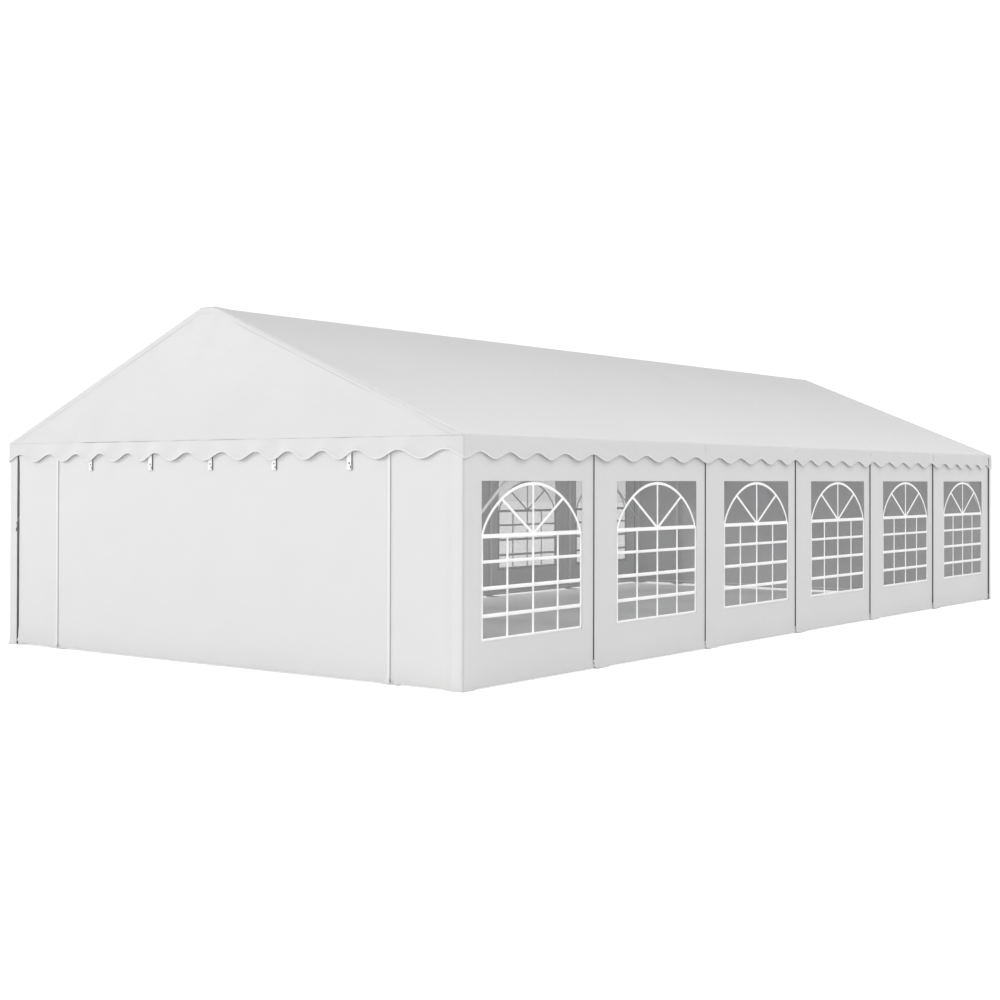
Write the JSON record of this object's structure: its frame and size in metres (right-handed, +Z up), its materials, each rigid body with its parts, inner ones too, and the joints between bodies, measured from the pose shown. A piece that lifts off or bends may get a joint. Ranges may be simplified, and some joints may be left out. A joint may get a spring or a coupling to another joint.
{
  "type": "marquee tent",
  "caption": "Long gabled party tent: white fabric roof with scalloped valances and window walls over a steel tube frame.",
  "frame": {"origin": "on the ground at the middle of the tent's plan", "axes": "+Z up, +Y along the ridge from the front gable to the rear gable, +X towards the long wall on the right of the front"},
  "size_m": [5.8, 12, 3.192],
  "materials": {
    "roof_cloth": "white coated cloth, satin",
    "wall_cloth": "white coated cloth, satin",
    "window_film": "clear flexible film, glossy",
    "tube_paint": "white powder coat, satin"
  },
  "bodies": {
    "root": {"portal_frame_1": "tube_paint", "portal_frame_2": "tube_paint", "portal_frame_3": "tube_paint", "portal_frame_4": "tube_paint", "portal_frame_5": "tube_paint", "portal_frame_6": "tube_paint", "portal_frame_7": "tube_paint", "ridge_purlin": "tube_paint", "slope_purlin_right": "tube_paint", "slope_purlin_left": "tube_paint", "eave_rail_right": "tube_paint", "eave_rail_left": "tube_paint", "base_rail_right": "tube_paint", "base_rail_left": "tube_paint", "gable_frame_front": "tube_paint", "gable_frame_rear": "tube_paint", "roof_cover": "roof_cloth", "gable_cover_front": "roof_cloth", "gable_cover_rear": "roof_cloth", "side_panel_right_1": "wall_cloth", "window_film_right_1": "window_film", "side_panel_right_2": "wall_cloth", "window_film_right_2": "window_film", "side_panel_right_3": "wall_cloth", "window_film_right_3": "window_film", "side_panel_right_4": "wall_cloth", "window_film_right_4": "window_film", "side_panel_right_5": "wall_cloth", "window_film_right_5": "window_film", "side_panel_right_6": "wall_cloth", "window_film_right_6": "window_film", "side_panel_left_1": "wall_cloth", "window_film_left_1": "window_film", "side_panel_left_2": "wall_cloth", "window_film_left_2": "window_film", "side_panel_left_3": "wall_cloth", "window_film_left_3": "window_film", "side_panel_left_4": "wall_cloth", "window_film_left_4": "window_film", "side_panel_left_5": "wall_cloth", "window_film_left_5": "window_film", "side_panel_left_6": "wall_cloth", "window_film_left_6": "window_film", "front_panel_right": "wall_cloth", "front_door": "wall_cloth", "front_panel_left": "wall_cloth", "rear_panel_right": "wall_cloth", "rear_door": "wall_cloth", "rear_panel_left": "wall_cloth"}
  },
  "joints": []
}
